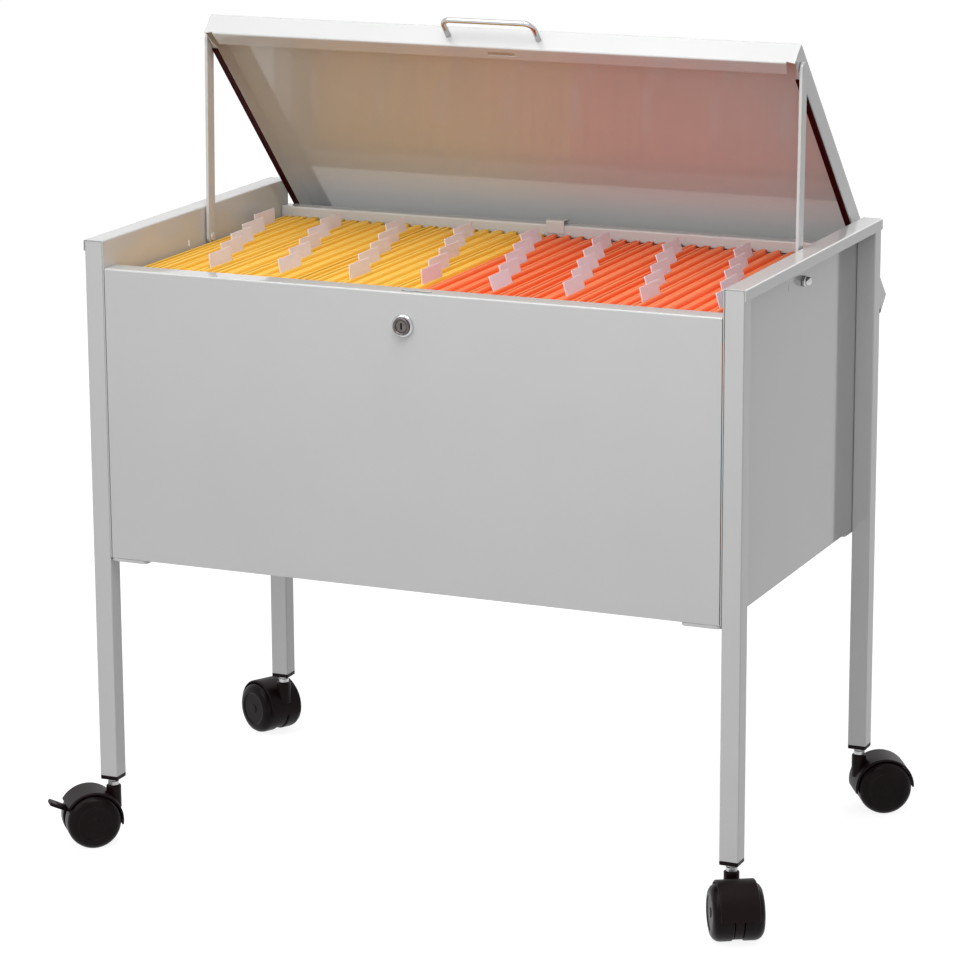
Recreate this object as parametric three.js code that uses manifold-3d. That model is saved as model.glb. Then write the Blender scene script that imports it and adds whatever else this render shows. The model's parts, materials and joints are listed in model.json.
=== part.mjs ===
// Mobile file cart: four square legs on twin-wheel casters carry an open sheet-steel bin for hanging files.
// Its lid rides on two swinging stays and slides back over the rear panel as it opens. Shown with the lid open.
// Millimetres, +Z up, front towards -Y. The origin is on the floor under the middle of the frame.

import * as THREE from "three";
import { mergeVertices } from "three/addons/utils/BufferGeometryUtils.js";
import Module from "manifold-3d";

// General
const SHEET = 1; // gauge of every panel and of the lid
const FIT = 0.3; // gap between two pieces that rest on or in each other
const OVERCUT = 1; // how far a cutting tool runs past the faces it cuts
const FACETS = 16; // sides of small round pieces
const MERGE_DISTANCE = 1e-4; // between corners that are one

// Frame
const FRAME_WIDTH = 680;
const FRAME_DEPTH = 403;
const RAIL_TOP = 617;
const LEG_WIDTH = 19;
const LEG_WALL = 1.5;
const LEG_BOTTOM = 71;
const PLUG_FLANGE = 4;
const PLUG_DEPTH = 26;

// Bin
const BIN_BOTTOM = 299.5;
const PANEL_TOP = 590;
const PANEL_END_GAP = 0.8; // between a front or rear panel and the side panel next to it
const FRONT_FLANGE = 24;
const REAR_FLANGE = 16.5;
const FLANGE_LIP = 12;
const RAIL_SKIRT = 11; // height of the turned-down edge outside the legs
const FILE_RAIL_THICKNESS = 2;
const FILE_RAIL_HEIGHT = 15;
const FILE_RAIL_DROP = 13; // panel top down to the edge that the files hang on
const BRACKET_SIDE = 40;
const BRACKET_THICKNESS = 3;

// Lid, with its sizes as it lies closed
const LID_LENGTH = 405;
const LID_HEIGHT = 25;
const LID_SIDE_GAP = 5.7; // room for a stay between the lid and a side panel
const LID_REST_GAP = 0.9; // under the closed lid
const LID_FRONT_LIP = 17;
const LID_SIDE_LIP = 6;
const GLIDE_HEIGHT = 1.7;
const GLIDE_INSET = 26; // front of the lid to the front end of a glide strip
const HANDLE_CENTRES = 96;
const HANDLE_REACH = 27;
const HANDLE_BAR = 6.5;
const HANDLE_BEND = 9;
const HANDLE_DROP = 12.5; // below the lid's top face
const HANDLE_STEPS = 26;
const HANDLE_SIDES = 10;

// Stays
const STAY_THICKNESS = 3;
const STAY_WIDTH = 13;
const STAY_LID_GAP = 0.9; // between a stay and the lid's side
const STAY_PIVOT_Y = 17.5;
const STAY_PIVOT_DROP = 5; // below the panel top
const LID_PIVOT_BACK = 17; // behind the lid's front face
const LID_PIVOT_DROP = 18; // below the lid's top face
const STAY_LEAN = 1.5; // degrees past upright when the lid is open
const PIVOT_RADIUS = 3;
const PIVOT_HEAD_RADIUS = 4.4;
const PIVOT_HEAD = 1.6;
const DOME_NUT_RADIUS = 5.5;
const DOME_NUT_COLLAR = 4;
const DOME_NUT_REACH = 9;
const DOME_FACETS = [35, 65]; // degrees up the dome, from its collar
const SPARE_HOLE_AHEAD = 41; // a spare stay hole, ahead of the pivot
const SPARE_HOLE_WIDTH = 2.4;
const SPARE_HOLE_HEIGHT = 6;

// Lock
const LOCK_DROP = 32; // below the panel top
const BEZEL_RADIUS = 11;
const BEZEL_FACE_RADIUS = 8;
const BEZEL_FLANGE = 1.5;
const BEZEL_REACH = 5.5;
const BARREL_RADIUS = 9;
const BARREL_LENGTH = 8; // behind the front panel's face
const PLUG_RADIUS = 6;
const PLUG_RECESS = 1.3;
const KEYWAY_WIDTH = 1.4;
const KEYWAY_HEIGHT = 7;
const KEYWAY_DEPTH = 4;
const TANG_RADIUS = 2.6;
const TANG_REACH = 1.2; // past the back of the cam
const CAM_THICKNESS = 2;
const CAM_HALF_WIDTH = 3;
const CAM_HUB_RADIUS = 7;
const HOOK_CLEAR = 0.5; // between the hook and the top of the lid's front lip
const HOOK_DEPTH = 4;
const HOOK_LEAD = 16; // degrees that the hook reaches past the cam's middle
const HOOK_TRAIL = 5;
const HOOK_SEGMENTS = 3;
const CAM_SLOT_WIDTH = 5;
const CAM_SLOT_LEFT = 5;
const CAM_SLOT_MARGIN = 1.2;

// Stop clip on the rear panel
const CLIP_X = -5;
const CLIP_WIDTH = 20;
const CLIP_THICKNESS = 2;
const CLIP_FOOT = 12;
const CLIP_HEIGHT = 8;
const CLIP_INSET = 2.5;

// Hanging files, in sets that share a solid
const FILES_PER_SET = 5;
const SETS_PER_COLOUR = 4;
const FILE_LEFT_GAP = 3.1; // left side panel to the first file
const FILE_FREE_SPACE = 28.3; // last file to the right side panel
const FILE_OVERHANG = 9; // rod past each end of its card
const FILE_ROD = 3.2;
const FILE_ROD_HEIGHT = 3.7;
const FILE_HEIGHT = 240;
const FILE_GROOVE = 19;
const TAB_LENGTH = 46;
const TAB_STEP = 54.25;
const TAB_THICKNESS = 1.2;
const TAB_HEIGHT = 9;
const TAB_ROOT = 1; // part of a tab that is sunk in its file's rod
const TAB_REAR_GAP = 38.7; // rear rail to the rearmost tab

// Casters
const WHEEL_RADIUS = 27.5;
const WHEEL_SEGMENTS = 24;
const WHEEL_INNER = 5; // middle of the caster to a wheel's inner face
const WHEEL_OUTER = 25;
const WHEEL_CHAMFER = 1.5;
const WHEEL_SHOULDER = 8;
const WHEEL_DISH = 1.2;
const WHEEL_DISH_RADIUS = 17;
const AXLE_RADIUS = 3;
const AXLE_HALF = 20;
const AXLE_END_GAP = 0.6;
const CASTER_TRAIL = 24;
const HOOD_GAP = 1;
const HOOD_WALL = 2;
const HOOD_HALF_WIDTH = 19;
const HOOD_FRONT = 190; // degrees round the wheel from straight behind, over the top
const HOOD_BACK = 0;
const HOOD_BACK_BRAKED = 32;
const HOOD_SEGMENTS = 8;
const WEB_HALF = 4;
const WEB_HUB_RADIUS = 9;
const NECK_RADIUS = 7.5;
const NECK_TOP = 59.2;
const NECK_FOOT = 36;
const STEM_RADIUS = 4;
const STEM_FOOT = 50;
const STEM_END_GAP = 2.5;
const COLLAR_RADIUS = 5.6;
const BRAKE_ANGLE = 25; // degrees above level, round the wheel
const BRAKE_PIVOT = 19.7; // wheel centre to the lever's pivot
const BRAKE_BOSS_RADIUS = 4;
const BRAKE_TONGUE = 5;
const BRAKE_TONGUE_HALF = 3.5;
const BRAKE_PEDAL_START = 32;
const BRAKE_PEDAL_END = 46.5;
const BRAKE_PEDAL = 3.5;
const BRAKE_PEDAL_HALF = 8;
const CORNERS = [
  { name: "front_left", x: -1, y: -1, heading: 220, braked: true },
  { name: "front_right", x: 1, y: -1, heading: 300, braked: false },
  { name: "rear_right", x: 1, y: 1, heading: 30, braked: false },
  { name: "rear_left", x: -1, y: 1, heading: 152, braked: false },
];
const SIDES = [
  { name: "left", sign: -1 },
  { name: "right", sign: 1 },
];

// Places that follow from the sizes
const { degToRad } = THREE.MathUtils;
const HALF_WIDTH = FRAME_WIDTH / 2;
const HALF_DEPTH = FRAME_DEPTH / 2;
const LEG_X = HALF_WIDTH - LEG_WIDTH / 2;
const LEG_Y = HALF_DEPTH - LEG_WIDTH / 2;
const SIDE_OUTER = HALF_WIDTH - LEG_WIDTH - FIT;
const SIDE_INNER = SIDE_OUTER - SHEET;
const PANEL_HALF = SIDE_INNER - PANEL_END_GAP;
const FRONT_RAIL_Y = -HALF_DEPTH + FRONT_FLANGE + FIT;
const REAR_RAIL_Y = HALF_DEPTH - REAR_FLANGE - FIT;
const FILE_RAIL_TOP = PANEL_TOP - FILE_RAIL_DROP;
const FILE_COUNT = 2 * SETS_PER_COLOUR * FILES_PER_SET;
const FILE_PITCH = (2 * SIDE_INNER - FILE_LEFT_GAP - FILE_FREE_SPACE) / FILE_COUNT;
const FILE_FIRST_X = -SIDE_INNER + FILE_LEFT_GAP + FILE_PITCH / 2;
const TAB_FIRST_Y = REAR_RAIL_Y - TAB_REAR_GAP - TAB_LENGTH;
const PLUG_TOP = LEG_BOTTOM - FIT;
const PLUG_UNDER = PLUG_TOP - PLUG_FLANGE;
const LID_HALF = SIDE_INNER - LID_SIDE_GAP;
const LID_UNDER = PANEL_TOP + LID_REST_GAP;
const LID_TOP = LID_UNDER + LID_HEIGHT;
const LID_FRONT = -HALF_DEPTH;
const LID_REAR = LID_FRONT + LID_LENGTH;
const STAY_PIVOT_Z = PANEL_TOP - STAY_PIVOT_DROP;
const LID_PIVOT_Y = LID_FRONT + LID_PIVOT_BACK;
const LID_PIVOT_Z = LID_TOP - LID_PIVOT_DROP;
const STAY_INNER = LID_HALF + STAY_LID_GAP;
const STAY_OUTER = STAY_INNER + STAY_THICKNESS;
const HOLE_RADIUS = PIVOT_RADIUS + FIT;
const LOCK_Z = PANEL_TOP - LOCK_DROP;
const BARREL_BACK = -HALF_DEPTH + BARREL_LENGTH;
const CAM_FRONT = BARREL_BACK + FIT;
const CAM_BACK = CAM_FRONT + CAM_THICKNESS;
const HOOK_INNER = (LID_UNDER + SHEET + HOOK_CLEAR - LOCK_Z) / Math.cos(degToRad(HOOK_LEAD));
const HOOK_OUTER = HOOK_INNER + HOOK_DEPTH;
const HOOD_INNER = WHEEL_RADIUS + HOOD_GAP;
const HOOD_OUTER = HOOD_INNER + HOOD_WALL;

// The open lid: each stay stands just past upright, and the lid's underside clears the rear panel's top edge
const STAY_LENGTH = Math.hypot(LID_PIVOT_Y - STAY_PIVOT_Y, LID_PIVOT_Z - STAY_PIVOT_Z);
const STAY_OPEN = Math.PI / 2 - degToRad(STAY_LEAN);
const OPEN_PIVOT_Y = STAY_PIVOT_Y + STAY_LENGTH * Math.cos(STAY_OPEN);
const OPEN_PIVOT_Z = STAY_PIVOT_Z + STAY_LENGTH * Math.sin(STAY_OPEN);
const EDGE_BACK = HALF_DEPTH - OPEN_PIVOT_Y;
const EDGE_DOWN = OPEN_PIVOT_Z - PANEL_TOP;
const EDGE_CLEAR = LID_HEIGHT - LID_PIVOT_DROP + LID_REST_GAP;
const LID_OPEN = Math.atan2(EDGE_DOWN, EDGE_BACK) - Math.asin(EDGE_CLEAR / Math.hypot(EDGE_BACK, EDGE_DOWN));

// Finishes
const FINISHES = {
  grey_paint: { color: 0xc4c4c0, roughness: 0.35, metalness: 0.1 },
  black_plastic: { color: 0x141213, roughness: 0.45, metalness: 0 },
  black_glide: { color: 0x1c0a0d, roughness: 0.5, metalness: 0 },
  bright_steel: { color: 0xcfcfd2, roughness: 0.2, metalness: 1 },
  zinc_steel: { color: 0x9a9b9c, roughness: 0.4, metalness: 1 },
  yellow_card: { color: 0xf0ac1e, roughness: 0.7, metalness: 0 },
  orange_card: { color: 0xee5a1c, roughness: 0.7, metalness: 0 },
};

const wasm = await Module();
wasm.setup();
const cart = new THREE.Group();

// Joins and cuts
function toSolid(geometry) {
  const bare = geometry.clone();
  bare.deleteAttribute("normal");
  bare.deleteAttribute("uv");
  const merged = mergeVertices(bare, MERGE_DISTANCE);
  const vertProperties = new Float32Array(merged.attributes.position.array);
  const triVerts = new Uint32Array(merged.index.array);
  return new wasm.Manifold(new wasm.Mesh({ numProp: 3, vertProperties, triVerts }));
}

function toGeometry(solid) {
  const mesh = solid.getMesh();
  const geometry = new THREE.BufferGeometry();
  geometry.setAttribute("position", new THREE.BufferAttribute(new Float32Array(mesh.vertProperties), 3));
  geometry.setIndex(new THREE.BufferAttribute(new Uint32Array(mesh.triVerts), 1));
  return geometry;
}

function join(...pieces) {
  return toGeometry(pieces.map(toSolid).reduce((whole, piece) => whole.add(piece)));
}

function cut(body, ...tools) {
  return toGeometry(tools.map(toSolid).reduce((rest, tool) => rest.subtract(tool), toSolid(body)));
}

// Basic shapes
function around(middle, half) {
  return [middle - half, middle + half];
}

function mirrored(range, sign) {
  return sign > 0 ? range : [-range[1], -range[0]];
}

function block(x, y, z) {
  const geometry = new THREE.BoxGeometry(x[1] - x[0], y[1] - y[0], z[1] - z[0]);
  return geometry.translate((x[0] + x[1]) / 2, (y[0] + y[1]) / 2, (z[0] + z[1]) / 2);
}

function rod(radius, length, middle) {
  return new THREE.CylinderGeometry(radius, radius, length, FACETS).translate(0, middle, 0);
}

function rodX(radius, [from, to], y, z) {
  return rod(radius, to - from, (from + to) / 2).rotateZ(-Math.PI / 2).translate(0, y, z);
}

function rodY(radius, [from, to], x, z) {
  return rod(radius, to - from, (from + to) / 2).translate(x, 0, z);
}

function rodZ(radius, [from, to], x, y) {
  return rod(radius, to - from, (from + to) / 2).rotateX(Math.PI / 2).translate(x, y, 0);
}

function polygon(points) {
  return new THREE.Shape(points.map(([a, b]) => new THREE.Vector2(a, b)));
}

function ringSector(inner, outer, fromDegrees, toDegrees) {
  const from = degToRad(fromDegrees);
  const to = degToRad(toDegrees);
  const shape = new THREE.Shape();
  shape.absarc(0, 0, outer, from, to, false);
  if (inner > 0) shape.absarc(0, 0, inner, to, from, true);
  else shape.lineTo(0, 0);
  return shape;
}

// A shape drawn in X and Z, given thickness along Y
function alongY(shape, [from, to], curveSegments = HOOD_SEGMENTS) {
  const geometry = new THREE.ExtrudeGeometry(shape, { depth: to - from, bevelEnabled: false, curveSegments });
  return geometry.rotateX(Math.PI / 2).translate(0, to, 0);
}

// A shape drawn in Y and Z, given thickness along X
function alongX(shape, [from, to], curveSegments = HOOD_SEGMENTS) {
  const geometry = new THREE.ExtrudeGeometry(shape, { depth: to - from, bevelEnabled: false, curveSegments });
  return geometry.rotateY(Math.PI / 2).rotateX(Math.PI / 2).translate(from, 0, 0);
}

function lathe(profile, segments = FACETS, start = 0) {
  return new THREE.LatheGeometry(profile.map(([r, y]) => new THREE.Vector2(r, y)), segments, start);
}

function add(name, geometry, finish, group = cart) {
  const mesh = new THREE.Mesh(geometry, new THREE.MeshStandardMaterial(FINISHES[finish]));
  mesh.name = name;
  group.add(mesh);
}

function addGroup(y, z, turn) {
  const group = new THREE.Group();
  group.position.set(0, y, z);
  group.rotation.x = turn;
  cart.add(group);
  return group;
}

// Square tube legs, the caster sockets in their feet, and the brackets under the bin
function addLegs() {
  const hollow = LEG_WIDTH / 2 - LEG_WALL;
  const legZ = [LEG_BOTTOM, RAIL_TOP - SHEET - FIT];
  const bracketZ = [BIN_BOTTOM - FIT - BRACKET_THICKNESS, BIN_BOTTOM - FIT];
  for (const corner of CORNERS) {
    const x = corner.x * LEG_X;
    const y = corner.y * LEG_Y;
    const outside = block(around(x, LEG_WIDTH / 2), around(y, LEG_WIDTH / 2), legZ);
    const inside = block(around(x, hollow), around(y, hollow), [legZ[0] - OVERCUT, legZ[1] + OVERCUT]);
    add("leg_" + corner.name, cut(outside, inside), "grey_paint");

    const flange = block(around(x, LEG_WIDTH / 2), around(y, LEG_WIDTH / 2), [PLUG_UNDER, PLUG_TOP]);
    const spigot = block(around(x, hollow - FIT), around(y, hollow - FIT), [PLUG_UNDER, PLUG_TOP + PLUG_DEPTH]);
    const socket = rodZ(STEM_RADIUS + FIT, [PLUG_UNDER - OVERCUT, PLUG_TOP + PLUG_DEPTH + OVERCUT], x, y);
    add("plug_" + corner.name, cut(join(flange, spigot), socket), "black_plastic");

    const bracketX = mirrored([SIDE_OUTER - BRACKET_SIDE, SIDE_OUTER], corner.x);
    const bracketY = mirrored([HALF_DEPTH - BRACKET_SIDE, HALF_DEPTH], corner.y);
    add("bracket_" + corner.name, block(bracketX, bracketY, bracketZ), "grey_paint");
  }
}

// Side panels: each sheet stands inside the legs, folds over their tops and turns down outside them
function addSidePanels() {
  const skirt = HALF_WIDTH + FIT;
  const outline = [
    [SIDE_INNER, BIN_BOTTOM],
    [SIDE_OUTER, BIN_BOTTOM],
    [SIDE_OUTER, RAIL_TOP - SHEET],
    [skirt, RAIL_TOP - SHEET],
    [skirt, RAIL_TOP - RAIL_SKIRT],
    [skirt + SHEET, RAIL_TOP - RAIL_SKIRT],
    [skirt + SHEET, RAIL_TOP],
    [SIDE_INNER, RAIL_TOP],
  ];
  const spareY = around(STAY_PIVOT_Y - SPARE_HOLE_AHEAD, SPARE_HOLE_WIDTH / 2);
  const spareZ = around(STAY_PIVOT_Z, SPARE_HOLE_HEIGHT / 2);
  for (const { name, sign } of SIDES) {
    const panel = alongY(polygon(outline.map(([x, z]) => [sign * x, z])), around(0, HALF_DEPTH));
    const through = mirrored([SIDE_INNER - OVERCUT, SIDE_OUTER + OVERCUT], sign);
    const pivotHole = rodX(HOLE_RADIUS, through, STAY_PIVOT_Y, STAY_PIVOT_Z);
    add("side_panel_" + name, cut(panel, pivotHole, block(through, spareY, spareZ)), "grey_paint");
  }
}

// Slot that the lock's hook swings up through, as wide as the hook's path at the given height above the lock
function camSlot(rise, z) {
  const right = Math.sqrt(HOOK_OUTER ** 2 - rise ** 2) + CAM_SLOT_MARGIN;
  const y = around((CAM_FRONT + CAM_BACK) / 2, CAM_SLOT_WIDTH / 2);
  return block([-CAM_SLOT_LEFT, right], y, [z[0] - OVERCUT, z[1] + OVERCUT]);
}

// A front or rear panel: an upright sheet, a flange folded in at its top and a lip turned down from that
function panelOutline(flange, sign) {
  const outline = [
    [-HALF_DEPTH, BIN_BOTTOM],
    [-HALF_DEPTH, PANEL_TOP],
    [-HALF_DEPTH + flange, PANEL_TOP],
    [-HALF_DEPTH + flange, PANEL_TOP - FLANGE_LIP],
    [-HALF_DEPTH + flange - SHEET, PANEL_TOP - FLANGE_LIP],
    [-HALF_DEPTH + flange - SHEET, PANEL_TOP - SHEET],
    [-HALF_DEPTH + SHEET, PANEL_TOP - SHEET],
    [-HALF_DEPTH + SHEET, BIN_BOTTOM],
  ];
  return polygon(outline.map(([y, z]) => [-sign * y, z]));
}

function addBin() {
  const across = around(0, PANEL_HALF);
  const front = alongX(panelOutline(FRONT_FLANGE, -1), across);
  const lockHole = rodY(BARREL_RADIUS + FIT, around(-HALF_DEPTH, SHEET + OVERCUT), 0, LOCK_Z);
  const slot = camSlot(LOCK_DROP - SHEET, [PANEL_TOP - SHEET, PANEL_TOP]);
  add("front_panel", cut(front, lockHole, slot), "grey_paint");
  add("rear_panel", alongX(panelOutline(REAR_FLANGE, 1), across), "grey_paint");

  const floorX = around(0, SIDE_INNER - FIT);
  const floorY = around(0, HALF_DEPTH - SHEET - FIT);
  add("bin_floor", block(floorX, floorY, [BIN_BOTTOM, BIN_BOTTOM + SHEET]), "grey_paint");

  const railZ = [FILE_RAIL_TOP - FILE_RAIL_HEIGHT, FILE_RAIL_TOP];
  add("file_rail_front", block(across, [FRONT_RAIL_Y, FRONT_RAIL_Y + FILE_RAIL_THICKNESS], railZ), "zinc_steel");
  add("file_rail_rear", block(across, [REAR_RAIL_Y - FILE_RAIL_THICKNESS, REAR_RAIL_Y], railZ), "zinc_steel");

  const clipX = around(CLIP_X, CLIP_WIDTH / 2);
  const clipBack = HALF_DEPTH - CLIP_INSET;
  const clipZ = PANEL_TOP + FIT;
  const foot = block(clipX, [clipBack - CLIP_FOOT, clipBack], [clipZ, clipZ + CLIP_THICKNESS]);
  const tongue = block(clipX, [clipBack - CLIP_THICKNESS, clipBack], [clipZ, clipZ + CLIP_HEIGHT]);
  add("rear_clip", join(foot, tongue), "zinc_steel");
}

// Cam lock in the front panel; its hook turns up through the panel's flange and over the lid's front lip
function addLock() {
  const bezelBack = -HALF_DEPTH - FIT;
  const face = bezelBack - BEZEL_REACH;
  const bore = PLUG_RADIUS + FIT;
  const housing = lathe([
    [bore, face],
    [BEZEL_FACE_RADIUS, face],
    [BEZEL_RADIUS, bezelBack - BEZEL_FLANGE],
    [BEZEL_RADIUS, bezelBack],
    [BARREL_RADIUS, bezelBack],
    [BARREL_RADIUS, BARREL_BACK],
    [bore, BARREL_BACK],
    [bore, face],
  ]);
  add("lock_housing", housing.translate(0, 0, LOCK_Z), "bright_steel");

  const plugFace = face + PLUG_RECESS;
  const plug = lathe([
    [0, plugFace],
    [PLUG_RADIUS, plugFace],
    [PLUG_RADIUS, BARREL_BACK],
    [TANG_RADIUS, BARREL_BACK],
    [TANG_RADIUS, CAM_BACK + TANG_REACH],
    [0, CAM_BACK + TANG_REACH],
  ]);
  const keyway = block(
    around(0, KEYWAY_WIDTH / 2),
    [face - OVERCUT, plugFace + KEYWAY_DEPTH],
    around(LOCK_Z, KEYWAY_HEIGHT / 2),
  );
  add("lock_plug", cut(plug.translate(0, 0, LOCK_Z), keyway), "bright_steel");

  const camY = [CAM_FRONT, CAM_BACK];
  const hub = rodY(CAM_HUB_RADIUS, camY, 0, 0);
  const arm = block([0, (HOOK_INNER + HOOK_OUTER) / 2], camY, around(0, CAM_HALF_WIDTH));
  const hook = alongY(ringSector(HOOK_INNER, HOOK_OUTER, -HOOK_TRAIL, HOOK_LEAD), camY, HOOK_SEGMENTS);
  const tangHole = rodY(TANG_RADIUS + FIT, [CAM_FRONT - OVERCUT, CAM_BACK + OVERCUT], 0, 0);
  add("lock_cam", cut(join(hub, arm, hook), tangHole).translate(0, 0, LOCK_Z), "zinc_steel");
}

// Hanging files: five to a solid, each with its rod over the rails and its tab one step further forward
function addFiles() {
  const rodZRange = [FILE_RAIL_TOP + FIT, FILE_RAIL_TOP + FIT + FILE_ROD_HEIGHT];
  const top = rodZRange[1];
  const bottom = top - FILE_HEIGHT;
  const cardY = [FRONT_RAIL_Y + FILE_OVERHANG, REAR_RAIL_Y - FILE_OVERHANG];
  for (let set = 0; set < 2 * SETS_PER_COLOUR; set++) {
    const first = FILE_FIRST_X + set * FILES_PER_SET * FILE_PITCH;
    const left = first - FILE_PITCH / 2 + FIT / 2;
    const right = left + FILES_PER_SET * FILE_PITCH - FIT;
    const outline = [[left, bottom], [right, bottom], [right, top - FILE_GROOVE]];
    const pieces = [];
    for (let file = FILES_PER_SET - 1; file >= 0; file--) {
      const x = first + file * FILE_PITCH;
      const grooveX = file > 0 ? x - FILE_PITCH / 2 : left;
      outline.push([x + FILE_ROD / 2, top], [x - FILE_ROD / 2, top], [grooveX, top - FILE_GROOVE]);
      pieces.push(block(around(x, FILE_ROD / 2), [FRONT_RAIL_Y, REAR_RAIL_Y], rodZRange));
      const tabFront = TAB_FIRST_Y - file * TAB_STEP;
      const tabZ = [top - TAB_ROOT, top + TAB_HEIGHT];
      pieces.push(block(around(x, TAB_THICKNESS / 2), [tabFront, tabFront + TAB_LENGTH], tabZ));
    }
    const pockets = alongY(polygon(outline), cardY);
    const colour = set < SETS_PER_COLOUR ? "yellow" : "orange";
    const name = colour + "_files_" + ((set % SETS_PER_COLOUR) + 1);
    add(name, join(pockets, ...pieces), colour + "_card");
  }
}

// Flat stays between the side panels and the lid, each turning on a bolt with a dome nut outside
function addStays() {
  const headX = LID_HALF - SHEET - FIT;
  const boltHead = STAY_INNER - FIT;
  const nut = SIDE_OUTER + FIT;
  const dome = nut + DOME_NUT_COLLAR;
  const domeReach = DOME_NUT_REACH - DOME_NUT_COLLAR;
  const bolt = lathe([
    [0, boltHead - PIVOT_HEAD],
    [PIVOT_HEAD_RADIUS, boltHead - PIVOT_HEAD],
    [PIVOT_HEAD_RADIUS, boltHead],
    [PIVOT_RADIUS, boltHead],
    [PIVOT_RADIUS, STAY_OUTER + FIT],
    [PIVOT_HEAD_RADIUS, STAY_OUTER + FIT],
    [PIVOT_HEAD_RADIUS, SIDE_INNER - FIT],
    [PIVOT_RADIUS, SIDE_INNER - FIT],
    [PIVOT_RADIUS, nut],
    [DOME_NUT_RADIUS, nut],
    [DOME_NUT_RADIUS, dome],
    ...DOME_FACETS.map(degToRad).map((up) => [DOME_NUT_RADIUS * Math.cos(up), dome + domeReach * Math.sin(up)]),
    [0, dome + domeReach],
  ]);
  const bar = new THREE.Shape();
  bar.absarc(0, 0, STAY_WIDTH / 2, Math.PI / 2, 1.5 * Math.PI, false);
  bar.absarc(STAY_LENGTH, 0, STAY_WIDTH / 2, -Math.PI / 2, Math.PI / 2, false);
  for (const { name, sign } of SIDES) {
    const turned = bolt.clone().rotateZ((-sign * Math.PI) / 2);
    add("pivot_bolt_" + name, turned.translate(0, STAY_PIVOT_Y, STAY_PIVOT_Z), "bright_steel");

    const flat = alongX(bar, mirrored([STAY_INNER, STAY_OUTER], sign));
    const stud = rodX(PIVOT_RADIUS, mirrored([headX - PIVOT_HEAD, STAY_OUTER], sign), STAY_LENGTH, 0);
    const head = rodX(PIVOT_HEAD_RADIUS, mirrored([headX - PIVOT_HEAD, headX], sign), STAY_LENGTH, 0);
    const hole = rodX(HOLE_RADIUS, mirrored([STAY_INNER - OVERCUT, STAY_OUTER + OVERCUT], sign), 0, 0);
    const group = addGroup(STAY_PIVOT_Y, STAY_PIVOT_Z, STAY_OPEN);
    add("stay_" + name, cut(join(flat, stud, head), hole), "zinc_steel", group);
  }
}

// Folded lid with its handle and glide strips, drawn closed and swung up about the stays' upper pivots
function addLid() {
  const group = addGroup(OPEN_PIVOT_Y, OPEN_PIVOT_Z, -LID_OPEN);
  const addClosed = (name, geometry, finish) =>
    add(name, geometry.translate(0, -LID_PIVOT_Y, -LID_PIVOT_Z), finish, group);

  const across = around(0, LID_HALF);
  const along = [LID_FRONT, LID_REAR];
  const lipBottom = LID_UNDER + GLIDE_HEIGHT + FIT;
  const glideY = [LID_FRONT + GLIDE_INSET, LID_REAR - SHEET - FIT];
  const walls = [
    block(across, along, [LID_TOP - SHEET, LID_TOP]),
    block(across, [LID_FRONT, LID_FRONT + SHEET], [LID_UNDER, LID_TOP]),
    block(across, [LID_REAR - SHEET, LID_REAR], [LID_UNDER, LID_TOP]),
    block(across, [LID_FRONT, LID_FRONT + LID_FRONT_LIP], [LID_UNDER, LID_UNDER + SHEET]),
  ];
  const holes = [camSlot(LID_UNDER - LOCK_Z, [LID_UNDER, LID_UNDER + SHEET])];
  for (const { name, sign } of SIDES) {
    const flangeX = mirrored([LID_HALF - SHEET, LID_HALF], sign);
    const lipX = mirrored([LID_HALF - LID_SIDE_LIP, LID_HALF], sign);
    const holeX = mirrored([LID_HALF - SHEET - OVERCUT, LID_HALF + OVERCUT], sign);
    walls.push(block(flangeX, along, [lipBottom, LID_TOP]));
    walls.push(block(lipX, [glideY[0], LID_REAR], [lipBottom, lipBottom + SHEET]));
    holes.push(rodX(HOLE_RADIUS, holeX, LID_PIVOT_Y, LID_PIVOT_Z));
    addClosed("glide_strip_" + name, block(lipX, glideY, [LID_UNDER, LID_UNDER + GLIDE_HEIGHT]), "black_glide");
  }
  addClosed("lid", cut(join(...walls), ...holes), "grey_paint");

  const foot = LID_FRONT - FIT;
  const grip = LID_FRONT - HANDLE_REACH + HANDLE_BAR / 2;
  const end = HANDLE_CENTRES / 2;
  const at = (x, y) => new THREE.Vector3(x, y, LID_TOP - HANDLE_DROP);
  const path = new THREE.CurvePath();
  const bend = (a, b, c) => path.add(new THREE.QuadraticBezierCurve3(a, b, c));
  const straight = (a, b) => path.add(new THREE.LineCurve3(a, b));
  straight(at(-end, foot), at(-end, grip + HANDLE_BEND));
  bend(at(-end, grip + HANDLE_BEND), at(-end, grip), at(-end + HANDLE_BEND, grip));
  straight(at(-end + HANDLE_BEND, grip), at(end - HANDLE_BEND, grip));
  bend(at(end - HANDLE_BEND, grip), at(end, grip), at(end, grip + HANDLE_BEND));
  straight(at(end, grip + HANDLE_BEND), at(end, foot));
  const section = new THREE.Shape();
  section.absarc(0, 0, HANDLE_BAR / 2, 0, 2 * Math.PI, false);
  const bow = { extrudePath: path, steps: HANDLE_STEPS, curveSegments: HANDLE_SIDES / 2, bevelEnabled: false };
  addClosed("handle", new THREE.ExtrudeGeometry(section, bow), "bright_steel");
}

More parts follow.
